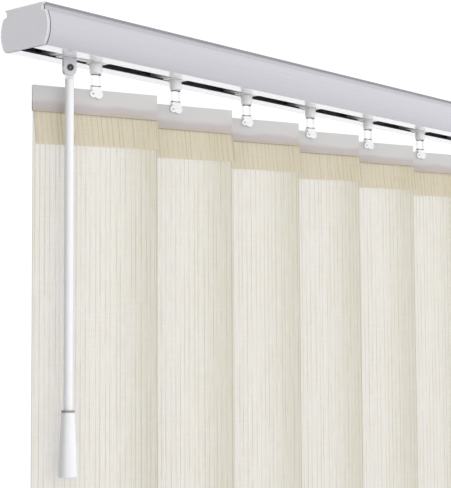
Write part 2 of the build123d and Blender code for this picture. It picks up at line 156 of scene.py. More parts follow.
def add_node(
    tree: bpy.types.NodeTree,
    kind: str,
    inputs: Optional[dict[Union[str, int], Socket]] = None,
    **settings: object,
) -> bpy.types.Node:
    """Add one node with its settings, and set or link its inputs.

    Args:
        tree: The node tree that gets the node.
        kind: The node's class, without the leading ShaderNode.
        inputs: A value, or another node's output, for each named or numbered input.
        settings: The node's own properties.

    Returns:
        The new node.
    """
    node = tree.nodes.new("ShaderNode" + kind)
    for key, value in settings.items():
        setattr(node, key, value)
    for key, value in (inputs or {}).items():
        if isinstance(value, bpy.types.NodeSocket):
            tree.links.new(value, node.inputs[key])
        else:
            node.inputs[key].default_value = value
    return node


def select_only(piece: bpy.types.Object) -> None:
    """Deselect everything, then select one piece and make it active.

    Args:
        piece: The piece to work on.
    """
    bpy.ops.object.select_all(action="DESELECT")
    piece.select_set(True)
    bpy.context.view_layer.objects.active = piece


def apply_modifier(piece: bpy.types.Object, kind: str, **settings: object) -> None:
    """Add a modifier to a piece and apply it.

    Args:
        piece: The mesh object.
        kind: The modifier's type.
        settings: The modifier's properties.
    """
    select_only(piece)
    modifier = piece.modifiers.new(kind.lower(), kind)
    for key, value in settings.items():
        setattr(modifier, key, value)
    bpy.ops.object.modifier_apply(modifier=modifier.name)


def smooth(piece: bpy.types.Object, angle_deg: float) -> None:
    """Shade a piece smooth, apart from edges sharper than an angle."""
    select_only(piece)
    bpy.ops.object.shade_smooth_by_angle(angle=math.radians(angle_deg))


def softened_copy(node: str, name: str, edge: float) -> bpy.types.Object:
    """Copy a solid's mesh, join its loose triangles and round its sharp edges a little.

    Args:
        node: The solid that is copied.
        name: The new piece's name.
        edge: The width of the rounded edges, in metres.

    Returns:
        The new piece, at the origin with its place in its mesh.
    """
    piece = bpy.data.objects.new(name, frame["nodes"][node].data.copy())
    piece.data.name = name
    piece.data.materials.clear()
    bpy.context.scene.collection.objects.link(piece)
    select_only(piece)
    bpy.ops.mesh.customdata_custom_splitnormals_clear()
    bpy.ops.object.mode_set(mode="EDIT")
    bpy.ops.mesh.select_all(action="SELECT")
    bpy.ops.mesh.remove_doubles(threshold=MERGE_GAP)
    bpy.ops.mesh.dissolve_limited(angle_limit=math.radians(FLAT_ANGLE_DEG))
    bpy.ops.object.mode_set(mode="OBJECT")
    apply_modifier(
        piece,
        "BEVEL",
        width=edge,
        segments=EDGE_SEGMENTS,
        limit_method="ANGLE",
        angle_limit=math.radians(SHARP_ANGLE_DEG),
        use_clamp_overlap=True,
        miter_outer="MITER_ARC",
    )
    smooth(piece, SHARP_ANGLE_DEG)
    apply_modifier(piece, "WEIGHTED_NORMAL", mode="FACE_AREA", keep_sharp=True)
    return piece


def dress(piece: bpy.types.Object, *materials: bpy.types.Material) -> None:
    """Give a piece its materials.

    Args:
        piece: The piece that is dressed.
        materials: Its materials, in the order of its slots.
    """
    piece.data.materials.clear()
    for material in materials:
        piece.data.materials.append(material)


def dress_solid(node: str, material: bpy.types.Material) -> None:
    """Dress a solid that is shown as it is, and report it."""
    dress(frame["nodes"][node], material)
    log.info("%s is dressed in %s", node, material.name)


def stand_for(piece: bpy.types.Object, node: str) -> None:
    """Let a piece stand for a solid: it rides on the solid's body, and the solid is hidden.

    Args:
        piece: The finished piece.
        node: The solid that it replaces.
    """
    body = frame["nodes"][node]["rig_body"]
    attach(piece, body)
    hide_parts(node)
    log.info("%s stands for %s on %s", piece.name, node, body)


@dataclass(frozen=True)
class Finish:
    """A finish: the name of its material, its colour and how rough it is."""

    name: str
    colour: str
    roughness: float

    def begin(self) -> tuple[bpy.types.NodeTree, bpy.types.Node, bpy.types.Node]:
        """Start the material.

        Returns:
            Its node tree, its principled shader and its output.
        """
        material = bpy.data.materials.new(self.name)
        material.use_nodes = True
        tree = material.node_tree
        tree.nodes.clear()
        looks = {"Base Color": linear(self.colour), "Roughness": self.roughness}
        shader = add_node(tree, "BsdfPrincipled", looks)
        output = add_node(tree, "OutputMaterial", {"Surface": shader.outputs[0]})
        return tree, shader, output

    def grain(
        self,
        tree: bpy.types.NodeTree,
        size_mm: tuple[float, float, float],
        detail: float,
    ) -> bpy.types.Node:
        """Add a noise whose grains have a real size along each axis of the object.

        Args:
            tree: The material's node tree.
            size_mm: The size of a grain along X, Y and Z.
            detail: How much finer noise the grains carry.

        Returns:
            The noise node.
        """
        place = add_node(tree, "TexCoord")
        scale = tuple(1 / (size * MM) for size in size_mm)
        mapping = add_node(tree, "Mapping", {"Vector": place.outputs["Object"], "Scale": scale})
        return add_node(tree, "TexNoise", {"Vector": mapping.outputs[0], "Scale": 1.0, "Detail": detail})

    def layered(
        self,
        tree: bpy.types.NodeTree,
        base: Socket,
        *layers: tuple[Socket, Socket],
    ) -> Socket:
        """Lay colours one over another.

        Args:
            tree: The material's node tree.
            base: The lowest colour.
            layers: Each further colour, after the share by which it covers what lies below.

        Returns:
            The colour that is seen.
        """
        for share, colour in layers:
            over = {0: share, MIX_BELOW: base, MIX_ABOVE: colour}
            base = add_node(tree, "Mix", over, data_type="RGBA").outputs[MIX_COLOUR]
        return base

    def vary(
        self,
        tree: bpy.types.NodeTree,
        shader: bpy.types.Node,
        noise: bpy.types.Node,
        darker: str,
        rougher: float,
    ) -> None:
        """Let a noise move the colour and the roughness a little.

        Args:
            tree: The material's node tree.
            shader: The principled shader.
            noise: The noise that drives the change.
            darker: The colour at the noise's low end.
            rougher: The roughness at the noise's low end.
        """
        tint = self.layered(tree, linear(darker), (noise.outputs[0], linear(self.colour)))
        tree.links.new(tint, shader.inputs["Base Color"])
        limits = {"Value": noise.outputs[0], "To Min": rougher, "To Max": self.roughness}
        rough = add_node(tree, "MapRange", limits)
        tree.links.new(rough.outputs[0], shader.inputs["Roughness"])

    def bump(
        self,
        tree: bpy.types.NodeTree,
        shader: bpy.types.Node,
        height: Socket,
        depth_mm: float,
    ) -> None:
        """Raise the surface by a pattern of a real depth."""
        node = add_node(tree, "Bump", {"Height": height, "Distance": depth_mm * MM, "Strength": 1.0})
        tree.links.new(node.outputs[0], shader.inputs["Normal"])


@dataclass(frozen=True)
class StovedPaint(Finish):
    """Stoved gloss paint on extruded aluminium: faint draw lines run along it under a clear gloss.

    The draw lines are drawn coarser than real ones, so that they show.
    """

    shade: str = "#B3B2B7"
    draw_line_mm: tuple[float, float, float] = (220.0, 1.6, 1.6)
    draw_depth_mm: float = 0.004
    line_detail: float = 2.0
    rough_spread: float = 1.3
    coat: float = 0.35
    coat_roughness: float = 0.05

    def material(self) -> bpy.types.Material:
        """Make the paint.

        Returns:
            The paint's material.
        """
        tree, shader, _ = self.begin()
        lines = self.grain(tree, self.draw_line_mm, self.line_detail)
        self.vary(tree, shader, lines, self.shade, self.roughness * self.rough_spread)
        self.bump(tree, shader, lines.outputs[0], self.draw_depth_mm)
        shader.inputs["Coat Weight"].default_value = self.coat
        shader.inputs["Coat Roughness"].default_value = self.coat_roughness
        return bpy.data.materials[self.name]


@dataclass(frozen=True)
class Moulding(Finish):
    """Moulded plastic: an even skin with a fine spark-eroded grain and slow flow marks.

    The grain is drawn coarser than a real one, so that it shows.
    """

    shade: str = "#C8C8CC"
    grain_mm: float = 0.7
    grain_depth_mm: float = 0.006
    grain_detail: float = 2.0
    flow_mm: float = 14.0
    flow_detail: float = 1.0
    rough_spread: float = 1.2

    def material(self) -> bpy.types.Material:
        """Make the plastic.

        Returns:
            The plastic's material.
        """
        tree, shader, _ = self.begin()
        flow = self.grain(tree, (self.flow_mm,) * 3, self.flow_detail)
        self.vary(tree, shader, flow, self.shade, self.roughness * self.rough_spread)
        spark = self.grain(tree, (self.grain_mm,) * 3, self.grain_detail)
        self.bump(tree, shader, spark.outputs[0], self.grain_depth_mm)
        return bpy.data.materials[self.name]


@dataclass(frozen=True)
class BareMetal(Finish):
    """Bare drawn or rolled metal: a grey mirror broken by fine lines along the way it was drawn.

    The lines are drawn coarser than real ones, so that they show.
    """

    shade: str = "#6E6E70"
    line_mm: tuple[float, float, float] = (60.0, 0.5, 0.5)
    line_depth_mm: float = 0.004
    line_detail: float = 2.0
    rough_spread: float = 1.4

    def material(self) -> bpy.types.Material:
        """Make the metal.

        Returns:
            The metal's material.
        """
        tree, shader, _ = self.begin()
        lines = self.grain(tree, self.line_mm, self.line_detail)
        self.vary(tree, shader, lines, self.shade, self.roughness * self.rough_spread)
        self.bump(tree, shader, lines.outputs[0], self.line_depth_mm)
        shader.inputs["Metallic"].default_value = 1.0
        return bpy.data.materials[self.name]


@dataclass(frozen=True)
class ClearPlastic(Finish):
    """Clear moulded polycarbonate: glossy, mostly seen through, with a slightly milky body."""

    clearness: float = 0.6
    milky_share: float = 0.85
    flow_mm: float = 3.0
    flow_depth_mm: float = 0.05
    flow_detail: float = 1.0
    # Dark lines at these heights are painted reflection of the dark room in the clear plastic.
    reflection_lines: tuple[float, ...] = ()
    reflection_half: float = 0.3 * MM
    reflection_colour: str = "#4C4C50"
    thick_top: float = 0.0
    thick_share: float = 0.3
    thick_edge: float = 0.5 * MM

    def reflected_lines(self, tree: bpy.types.NodeTree, shader: bpy.types.Node, share: Socket) -> Socket:
        """Paint dark lines at the given heights, as painted reflection of the dark room in the clear
        plastic, and cloud what is thick below them.

        Args:
            tree: The material's node tree.
            shader: The principled shader.
            share: How much is seen through the plain plastic.

        Returns:
            How much is seen through at each height.
        """
        place = add_node(tree, "TexCoord")
        height = add_node(tree, "SeparateXYZ", {0: place.outputs["Object"]}).outputs["Z"]
        dark: Socket = 0.0
        for line_z in self.reflection_lines:
            near = add_node(tree, "Math", {0: height, 1: line_z, 2: self.reflection_half}, operation="COMPARE")
            dark = add_node(tree, "Math", {0: dark, 1: near.outputs[0]}, operation="MAXIMUM").outputs[0]
        tint = self.layered(tree, linear(self.colour), (dark, linear(self.reflection_colour)))
        tree.links.new(tint, shader.inputs["Base Color"])
        limits = {"From Min": self.thick_top - self.thick_edge, "From Max": self.thick_top}
        thin = add_node(tree, "MapRange", {"Value": height, "To Min": self.thick_share, **limits})
        seen = add_node(tree, "Math", {0: share, 1: thin.outputs[0]}, operation="MULTIPLY")
        left = {0: seen.outputs[0], 1: dark}
        return add_node(tree, "Math", left, operation="SUBTRACT", use_clamp=True).outputs[0]

    def material(self) -> bpy.types.Material:
        """Make the clear plastic.

        Returns:
            The clear plastic's material.
        """
        tree, shader, output = self.begin()
        flow = self.grain(tree, (self.flow_mm,) * 3, self.flow_detail)
        self.bump(tree, shader, flow.outputs[0], self.flow_depth_mm)
        clear = add_node(tree, "BsdfTransparent")
        limits = {"To Min": self.clearness * self.milky_share, "To Max": self.clearness}
        milk = add_node(tree, "MapRange", {"Value": flow.outputs[0], **limits})
        share = milk.outputs[0]
        if self.reflection_lines:
            share = self.reflected_lines(tree, shader, share)
        mixed = add_node(tree, "MixShader", {0: share, 1: shader.outputs[0], 2: clear.outputs[0]})
        tree.links.new(mixed.outputs[0], output.inputs["Surface"])
        return bpy.data.materials[self.name]


@dataclass(frozen=True)
class FrostedStrip(Finish):
    """Frosted polypropylene strip: milky, with a warm soft band towards its foot: partly the cloth in its
    groove showing through, partly painted shade above the hem.

    The frost is drawn coarser than a real one, so that it shows.
    """

    band_cloth_and_shade_colour: str = "#CFC7C5"
    band_top: float = -54.2 * MM
    band_foot: float = -58.5 * MM
    band_wander: float = 2.5 * MM
    foot_cloth_and_shade_colour: str = "#CCC3B0"
    foot_top: float = -59.6 * MM
    foot_end: float = -62.2 * MM
    glow: float = 0.3
    frost_mm: float = 1.1
    frost_depth_mm: float = 0.01
    frost_detail: float = 3.0
    cloud_mm: tuple[float, float, float] = (26.0, 26.0, 9.0)
    cloud_detail: float = 1.0

    def material(self) -> bpy.types.Material:
        """Make the frosted plastic.

        Returns:
            The frosted plastic's material.
        """
        tree, shader, output = self.begin()
        frost = self.grain(tree, (self.frost_mm,) * 3, self.frost_detail)
        place = add_node(tree, "TexCoord")
        parts = add_node(tree, "SeparateXYZ", {0: place.outputs["Object"]})
        cloud = self.grain(tree, self.cloud_mm, self.cloud_detail)
        limits = {"To Min": -self.band_wander, "To Max": self.band_wander}
        wander = add_node(tree, "MapRange", {"Value": cloud.outputs[0], **limits})
        height = add_node(tree, "Math", {0: parts.outputs["Z"], 1: wander.outputs[0]}, operation="ADD")
        # The two bands are partly the cloth seen through the strip and partly painted shade above the hem.
        layers = []
        for colour, top, foot in (
            (self.band_cloth_and_shade_colour, self.band_top, self.band_foot),
            (self.foot_cloth_and_shade_colour, self.foot_top, self.foot_end),
        ):
            limits = {"Value": height.outputs[0], "From Min": top, "From Max": foot}
            share = add_node(tree, "MapRange", limits, interpolation_type="SMOOTHSTEP")
            layers.append((share.outputs[0], linear(colour)))
        tint = self.layered(tree, linear(self.colour), *layers)
        tree.links.new(tint, shader.inputs["Base Color"])
        self.bump(tree, shader, frost.outputs[0], self.frost_depth_mm)
        light = add_node(tree, "BsdfTranslucent", {"Color": tint})
        mixed = add_node(tree, "MixShader", {0: self.glow, 1: shader.outputs[0], 2: light.outputs[0]})
        tree.links.new(mixed.outputs[0], output.inputs["Surface"])
        return bpy.data.materials[self.name]


@dataclass(frozen=True)
class YarnSet:
    """One kind of yarn in a cloth: its spacing, width, run and wander, and how faint it gets."""

    pitch_mm: float
    width_mm: float
    length_mm: float
    wander_mm: float
    faintest: float


@dataclass(frozen=True)
class SlubCloth(Finish):
    """Plain-woven cream cloth: fine weft, yarns with slubs down its length, painted shade along its cut
    edges, and a glow of the light behind it.

    The fine yarns and the weft are drawn coarser than real threads, so that they show.
    """

    slub_colour: str = "#C8C1A4"
    warm_colour: str = "#DCD8B8"
    flap_colour: str = "#E3DCC7"
    flap_slub_colour: str = "#BEB08E"
    glow_colour: str = "#E4E2F2"
    flap_glow_colour: str = "#E1DAC2"
    glow_slub_colour: str = "#C6C2C8"
    glow: float = 0.42
    slubs: YarnSet = YarnSet(3.6, 0.55, 70.0, 0.35, 0.3)
    fine_yarns: YarnSet = YarnSet(1.3, 0.55, 14.0, 0.2, 0.0)
    fine_share: float = 0.35
    patch_length_mm: float = 26.0
    weft_mm: float = 1.4
    weft_shade: float = 0.045
    yarn_depth_mm: float = 0.05
    yarn_fade: tuple[float, float] = (1.3, 0.4)
    flap_length: float = 26.2 * MM
    flap_edge: float = 0.1 * MM
    cut_edge: float = 0.8 * MM
    drift_lanes: float = 4.0
    drift_lengths: float = 2.0
    lane_step: float = 7.37
    lane_detail: float = 3.0
    lane_roughness: float = 0.6
    thread_detail: float = 2.0
    noise_low: float = 0.38
    noise_high: float = 0.6
    seat_low: float = 0.3
    sheen: float = 0.05
    pores: float = 0.02

    def lanes(
        self,
        tree: bpy.types.NodeTree,
        flat: Socket,
        yarn: YarnSet,
    ) -> tuple[bpy.types.Node, bpy.types.Node]:
        """Part the cloth's width into wandering lanes, one for each yarn of a set.

        Args:
            tree: The material's node tree.
            flat: The place on the flat cloth, in metres.
            yarn: The set of yarns.

        Returns:
            A node with the lane's rank, and one with the place inside the lane from zero to one.
        """
        parts = add_node(tree, "SeparateXYZ", {0: flat})
        wide = yarn.pitch_mm * self.drift_lanes
        drift = self.threads(tree, flat, wide, yarn.length_mm * self.drift_lengths)
        reach = yarn.wander_mm * MM
        shift = add_node(tree, "MapRange", {"Value": drift.outputs[0], "To Min": -reach, "To Max": reach})
        across = add_node(tree, "Math", {0: parts.outputs["X"], 1: shift.outputs[0]}, operation="ADD")
        lane = add_node(tree, "Math", {0: across.outputs[0], 1: yarn.pitch_mm * MM}, operation="DIVIDE")
        rank = add_node(tree, "Math", {0: lane.outputs[0]}, operation="FLOOR")
        inside = add_node(tree, "Math", {0: lane.outputs[0]}, operation="FRACT")
        return rank, inside

    def lane_noise(
        self,
        tree: bpy.types.NodeTree,
        flat: Socket,
        rank: bpy.types.Node,
        length_mm: float,
        low: float,
    ) -> bpy.types.Node:
        """Add a noise that runs down each lane on its own.

        Args:
            tree: The material's node tree.
            flat: The place on the flat cloth, in metres.
            rank: The node with the lane's rank.
            length_mm: The noise's size down the cloth.
            low: What the noise gives at its low end; its high end gives one.

        Returns:
            The node that gives the noise.
        """
        parts = add_node(tree, "SeparateXYZ", {0: flat})
        down = add_node(tree, "Math", {0: parts.outputs["Y"], 1: length_mm * MM}, operation="DIVIDE")
        apart = add_node(tree, "Math", {0: rank.outputs[0], 1: self.lane_step}, operation="MULTIPLY")
        place = add_node(tree, "CombineXYZ", {"X": apart.outputs[0], "Y": down.outputs[0]})
        strands = {"Scale": 1.0, "Detail": self.lane_detail, "Roughness": self.lane_roughness}
        noise = add_node(tree, "TexNoise", {"Vector": place.outputs[0], **strands}, noise_dimensions="2D")
        limits = {"From Min": self.noise_low, "From Max": self.noise_high, "To Min": low, "To Max": 1.0}
        limits["Value"] = noise.outputs[0]
        return add_node(tree, "MapRange", limits, interpolation_type="SMOOTHSTEP")

    def threads(
        self,
        tree: bpy.types.NodeTree,
        flat: Socket,
        width_mm: float,
        length_mm: float,
    ) -> bpy.types.Node:
        """Add a noise drawn out along the cloth's width and length.

        Args:
            tree: The material's node tree.
            flat: The place on the flat cloth, in metres.
            width_mm: The noise's size across the cloth.
            length_mm: The noise's size down the cloth.

        Returns:
            The noise node.
        """
        scale = (1 / (width_mm * MM), 1 / (length_mm * MM), 1.0)
        place = add_node(tree, "Mapping", {"Vector": flat, "Scale": scale})
        strands = {"Vector": place.outputs[0], "Scale": 1.0, "Detail": self.thread_detail}
        return add_node(tree, "TexNoise", strands, noise_dimensions="2D")

    def yarns(self, tree: bpy.types.NodeTree, flat: Socket, yarn: YarnSet) -> bpy.types.Node:
        """Draw one yarn in each lane, stronger and fainter along its length.

        Args:
            tree: The material's node tree.
            flat: The place on the flat cloth, in metres.
            yarn: The set of yarns.

        Returns:
            A node that gives up to one on a yarn and zero between yarns.
        """
        rank, inside = self.lanes(tree, flat, yarn)
        chance = add_node(tree, "TexWhiteNoise", {"W": rank.outputs[0]}, noise_dimensions="1D")
        limits = {"To Min": self.seat_low, "To Max": 1 - self.seat_low}
        seat = add_node(tree, "MapRange", {"Value": chance.outputs["Value"], **limits})
        aside = add_node(tree, "Math", {0: inside.outputs[0], 1: seat.outputs[0]}, operation="SUBTRACT")
        gap = add_node(tree, "Math", {0: aside.outputs[0]}, operation="ABSOLUTE")
        half = yarn.width_mm / yarn.pitch_mm / 2
        outer, inner = (half * share for share in self.yarn_fade)
        limits = {"Value": gap.outputs[0], "From Min": outer, "From Max": inner}
        line = add_node(tree, "MapRange", limits, interpolation_type="SMOOTHSTEP")
        kept = self.lane_noise(tree, flat, rank, yarn.length_mm, yarn.faintest)
        return add_node(tree, "Math", {0: line.outputs[0], 1: kept.outputs[0]}, operation="MULTIPLY")

    def edges(self, tree: bpy.types.NodeTree, across: Socket) -> bpy.types.Node:
        """Mark the two cut edges, which take the darker colour of the slubs as painted shade.

        Args:
            tree: The material's node tree.
            across: The place across the row of flat cloths, in metres.

        Returns:
            A node that gives one at an edge and zero away from it.
        """
        spare = (CLOTH_STRIDE - VANE_WIDTH) / 2
        own = add_node(tree, "Math", {0: across, 1: CLOTH_STRIDE - spare, 2: -spare}, operation="WRAP")
        half = VANE_WIDTH / 2
        middle = add_node(tree, "Math", {0: own.outputs[0], 1: half}, operation="SUBTRACT")
        reach = add_node(tree, "Math", {0: middle.outputs[0]}, operation="ABSOLUTE")
        limits = {"From Min": half - self.cut_edge, "From Max": half - self.cut_edge / 2}
        limits["Value"] = reach.outputs[0]
        return add_node(tree, "MapRange", limits, interpolation_type="SMOOTHSTEP")

    def material(self) -> bpy.types.Material:
        """Make the cloth; its patterns follow the flat cloth, whose map is in metres.

        Returns:
            The cloth's material.
        """
        tree, shader, output = self.begin()
        flat = add_node(tree, "TexCoord").outputs["UV"]
        parts = add_node(tree, "SeparateXYZ", {0: flat})
        rank, _ = self.lanes(tree, flat, self.slubs)
        patch = self.lane_noise(tree, flat, rank, self.patch_length_mm, 0.0)
        fine = self.yarns(tree, flat, self.fine_yarns)
        faint = add_node(tree, "Math", {0: fine.outputs[0], 1: self.fine_share}, operation="MULTIPLY")
        thick = self.yarns(tree, flat, self.slubs)
        both = add_node(tree, "Math", {0: thick.outputs[0], 1: faint.outputs[0]}, operation="MAXIMUM")
        # The cut edges take the slubs' darker colour: painted shade along each edge.
        edge = self.edges(tree, parts.outputs["X"])
        marked = {0: both.outputs[0], 1: edge.outputs[0]}
        slub_and_edge_shade = add_node(tree, "Math", marked, operation="MAXIMUM").outputs[0]
        weft = self.threads(tree, flat, self.patch_length_mm, self.weft_mm)
        limits = {"From Min": self.flap_length, "From Max": self.flap_length - self.flap_edge}
        flap = add_node(tree, "MapRange", {"Value": parts.outputs["Y"], **limits}).outputs[0]
        yarn = self.layered(tree, linear(self.slub_colour), (flap, linear(self.flap_slub_colour)))
        slubbed = self.layered(
            tree,
            linear(self.warm_colour),
            (patch.outputs[0], linear(self.colour)),
            (flap, linear(self.flap_colour)),
            (slub_and_edge_shade, yarn),
        )
        limits = {"To Min": 1 - self.weft_shade, "To Max": 1 + self.weft_shade}
        shade = add_node(tree, "MapRange", {"Value": weft.outputs[0], **limits})
        over = {0: 1.0, MIX_BELOW: slubbed, MIX_ABOVE: shade.outputs[0]}
        woven = add_node(tree, "Mix", over, data_type="RGBA", blend_type="MULTIPLY")
        tree.links.new(woven.outputs[MIX_COLOUR], shader.inputs["Base Color"])
        shader.inputs["Sheen Weight"].default_value = self.sheen
        height = add_node(tree, "Math", {0: slub_and_edge_shade, 1: weft.outputs[0]}, operation="ADD")
        self.bump(tree, shader, height.outputs[0], self.yarn_depth_mm)
        shader.inputs["Alpha"].default_value = 1 - self.pores
        through = self.layered(
            tree,
            linear(self.glow_colour),
            (slub_and_edge_shade, linear(self.glow_slub_colour)),
            (flap, linear(self.flap_glow_colour)),
        )
        light = add_node(tree, "BsdfTranslucent", {"Color": through})
        mixed = add_node(tree, "MixShader", {0: self.glow, 1: shader.outputs[0], 2: light.outputs[0]})
        tree.links.new(mixed.outputs[0], output.inputs["Surface"])
        return bpy.data.materials[self.name]


@dataclass
class Headrail:
    """The painted rail with its two moulded end caps."""

    edge: float = 0.2 * MM
    neck_inside: float = 16.35 * MM
    neck_foot: float = -5.5 * MM
    roof: float = -0.65 * MM
    lip_side: float = 17.9 * MM
    lip_foot: float = -1.25 * MM
    flange_z: float = -27.2 * MM
    slot_side: float = 6.2 * MM
    slot_top: float = -26.0 * MM
    axis_z: float = -15.2 * MM
    cap_edge: float = 0.6 * MM
    cap_plate: float = 1.9 * MM
    cap_seam: float = 0.6 * MM
    plate_facing: float = 0.5
    end_facing: float = 0.7
    lip_facing: float = 0.6
    flange_facing: float = 0.9

    def cap_kind(self, centre: Vector, normal: Vector) -> CapFace:
        """Tell which finish a face of a cap has.

        Args:
            centre: The middle of the face.
            normal: The face's outward direction.

        Returns:
            The flat plate, its rim in painted shade, or the seam between the plate and the rail in painted
            shade.
        """
        depth = CAD_BOX[1][0] - abs(centre.x)
        if self.cap_plate - self.cap_edge < depth < self.cap_plate + self.cap_seam:
            return CapFace.SEAM
        return CapFace.PLATE if abs(normal.x) > self.plate_facing else CapFace.RIM

    def face_kind(self, centre: Vector, normal: Vector) -> RailFace:
        """Tell which finish a face of the rail has.

        Args:
            centre: The middle of the face.
            normal: The face's outward direction.

        Returns:
            A cut or lip edge, the slot's edge, a flange, the channel's inside or the outside.
        """
        if abs(normal.x) > self.end_facing:
            return RailFace.LIP
        if centre.z > self.neck_foot:
            if abs(centre.y) < self.neck_inside and centre.z < self.roof:
                return RailFace.INSIDE
            beside = abs(centre.y) > self.lip_side and abs(normal.y) > self.lip_facing
            return RailFace.LIP if beside and centre.z > self.lip_foot else RailFace.OUTSIDE
        if abs(centre.y) < self.slot_side and centre.z < self.slot_top:
            return RailFace.SLOT
        if normal.z < -self.flange_facing and centre.z < self.flange_z:
            return RailFace.FLANGE
        towards = normal.y * centre.y + normal.z * (centre.z - self.axis_z)
        return RailFace.INSIDE if towards < 0 else RailFace.OUTSIDE

    def build(self) -> None:
        """Build and dress the rail and its caps."""
        # The paint's gloss carries the room as a soft streak along the bulge.
        paint = StovedPaint("stoved_gloss_paint_on_aluminium", "#BEBDC2", 0.26)
        # Inside, the metal is left dull and stays dark behind the slot.
        inside = BareMetal("mill_finish_aluminium", "#BEBEC2", 0.5, shade="#A4A4A8")
        # The flange mirrors the pale floor, and it also takes a whiter copy of the rail's paint: painted
        # light from below, while the front keeps the greyer copy.
        flange = StovedPaint("stoved_gloss_paint_lit_white_on_flange", "#F5F5F7", 0.06, shade="#F1F1F4", coat=1.0)
        # The lip's edge and the rail's cut ends take a darker grey: painted dark reflection, which draws a
        # thin grey line along the rail's top.
        lip = BareMetal("painted_dark_reflection_on_lip_edge", "#98989C", 0.4, shade="#8C8C90")
        # The slot's edges take a dark grey: painted shade, which widens the dark of the slot.
        slot = BareMetal("painted_shade_on_slot_edge", "#58585C", 0.6, shade="#4C4C50")
        shell = softened_copy("headrail", "headrail_shell", self.edge)
        dress(shell, *(finish.material() for finish in (paint, inside, flange, lip, slot)))
        for face in shell.data.polygons:
            face.material_index = self.face_kind(face.center, face.normal).value
        stand_for(shell, "headrail")
        # A matt even skin on the plate, painted shade in the seam behind it, and painted shade on a greyer
        # rim.
        plastic = Moulding("moulded_abs_light_grey", "#F9F9FB", 0.4, shade="#F5F5F8").material()
        shadow = Moulding("shadowed_abs_in_the_seam", "#5C5C60", 0.6, shade="#505054").material()
        rim = Moulding("painted_shade_on_cap_rim", "#C6C6CA", 0.5, shade="#C0C0C4").material()
        for side in ("left", "right"):
            cap = softened_copy(f"end_cap_{side}", f"end_cap_{side}_shell", self.cap_edge)
            dress(cap, plastic, shadow, rim)
            for face in cap.data.polygons:
                face.material_index = self.cap_kind(face.center, face.normal).value
            stand_for(cap, f"end_cap_{side}")


@dataclass
class InnerWorks:
    """What runs inside the rail: the rod, its gears, the carriers, the spacers, the link and the stop."""

    edge: float = 0.15 * MM

    def build(self) -> None:
        """Dress the solids inside the rail, and soften the ones that show in the slot."""
        # Acetal has a low waxy gloss, the drawn rod and the rolled strips a lined metal one.
        acetal = Moulding("moulded_acetal_white", "#E4E4E2", 0.35, shade="#D8D8D6").material()
        gear = Moulding("moulded_acetal_natural", "#DAD8D0", 0.38, shade="#CFCDC6").material()
        rod = BareMetal("drawn_aluminium_rod", "#A9AAAD", 0.3, shade="#8A8B8E").material()
        steel = BareMetal("rolled_spring_steel", "#8D8F93", 0.28, shade="#74767A").material()
        carriers = [f"carrier_{number}" for number in VANE_NUMBERS]
        for node in carriers + ["lead_carriage", "lead_link", "end_stop"]:
            piece = softened_copy(node, f"{node}_moulding", self.edge)
            dress(piece, acetal)
            stand_for(piece, node)
        for node in [f"worm_{number}" for number in VANE_NUMBERS] + ["drive_gear"]:
            dress_solid(node, gear)
        for node in [f"spacer_{number}" for number in range(1, VANE_COUNT)]:
            dress_solid(node, steel)
        dress_solid("tilt_rod", rod)


@dataclass
class Hooks:
    """The moulded hooks that turn in the carriers and clip on the hangers."""

    edge: float = 0.3 * MM
    cup_foot: float = -34.2 * MM
    window_top: float = -34.8 * MM
    window_foot: float = -43.0 * MM
    head_reflection: float = -34.95 * MM
    sill_reflection: float = -42.78 * MM
    sill_facing: float = 0.3

    def face_kind(self, centre: Vector, normal: Vector) -> HookFace:
        """Tell which finish a face of a hook has.

        Args:
            centre: The middle of the face.
            normal: The face's outward direction.

        Returns:
            The cup and what is above it, the window's sill and head, or the blade and jaws.
        """
        if centre.z > self.cup_foot:
            return HookFace.CUP
        if abs(normal.z) > self.sill_facing and self.window_foot < centre.z < self.window_top:
            return HookFace.WINDOW
        return HookFace.BLADE

    def build(self) -> None:
        """Build and dress every hook."""
        # The cup is frosted and milky and the thin bars almost vanish; the window's head and sill take
        # painted reflection of the dark room.
        cup = ClearPlastic("moulded_frosted_polycarbonate", "#F8F8FA", 0.3, clearness=0.3).material()
        blade = ClearPlastic(
            "moulded_clear_polycarbonate",
            "#F8F8FA",
            0.12,
            clearness=0.8,
            reflection_lines=(self.head_reflection, self.sill_reflection),
            thick_top=self.window_foot,
        )
        clear = blade.material()
        # The window's head and sill faces take a dark, nearly opaque grey: painted reflection of the dark
        # room.
        sill = ClearPlastic("painted_reflection_on_window_edges", "#4C4C50", 0.2, clearness=0.05).material()
        for number in VANE_NUMBERS:
            piece = softened_copy(f"hook_{number}", f"hook_{number}_moulding", self.edge)
            dress(piece, cup, clear, sill)
            for face in piece.data.polygons:
                face.material_index = self.face_kind(face.center, face.normal).value
            stand_for(piece, f"hook_{number}")


@dataclass
class Hangers:
    """The frosted strips that grip the vanes."""

    edge: float = 0.2 * MM

    def build(self) -> None:
        """Build and dress every hanger."""
        # Milky plastic: an even pale grey, warmer and darker towards its foot, partly from the cloth in its
        # groove and partly painted shade.
        frosted = FrostedStrip("frosted_polypropylene_strip", "#D8D7D5", 0.45).material()
        for number in VANE_NUMBERS:
            piece = softened_copy(f"hanger_{number}", f"hanger_{number}_strip", self.edge)
            dress(piece, frosted)
            stand_for(piece, f"hanger_{number}")


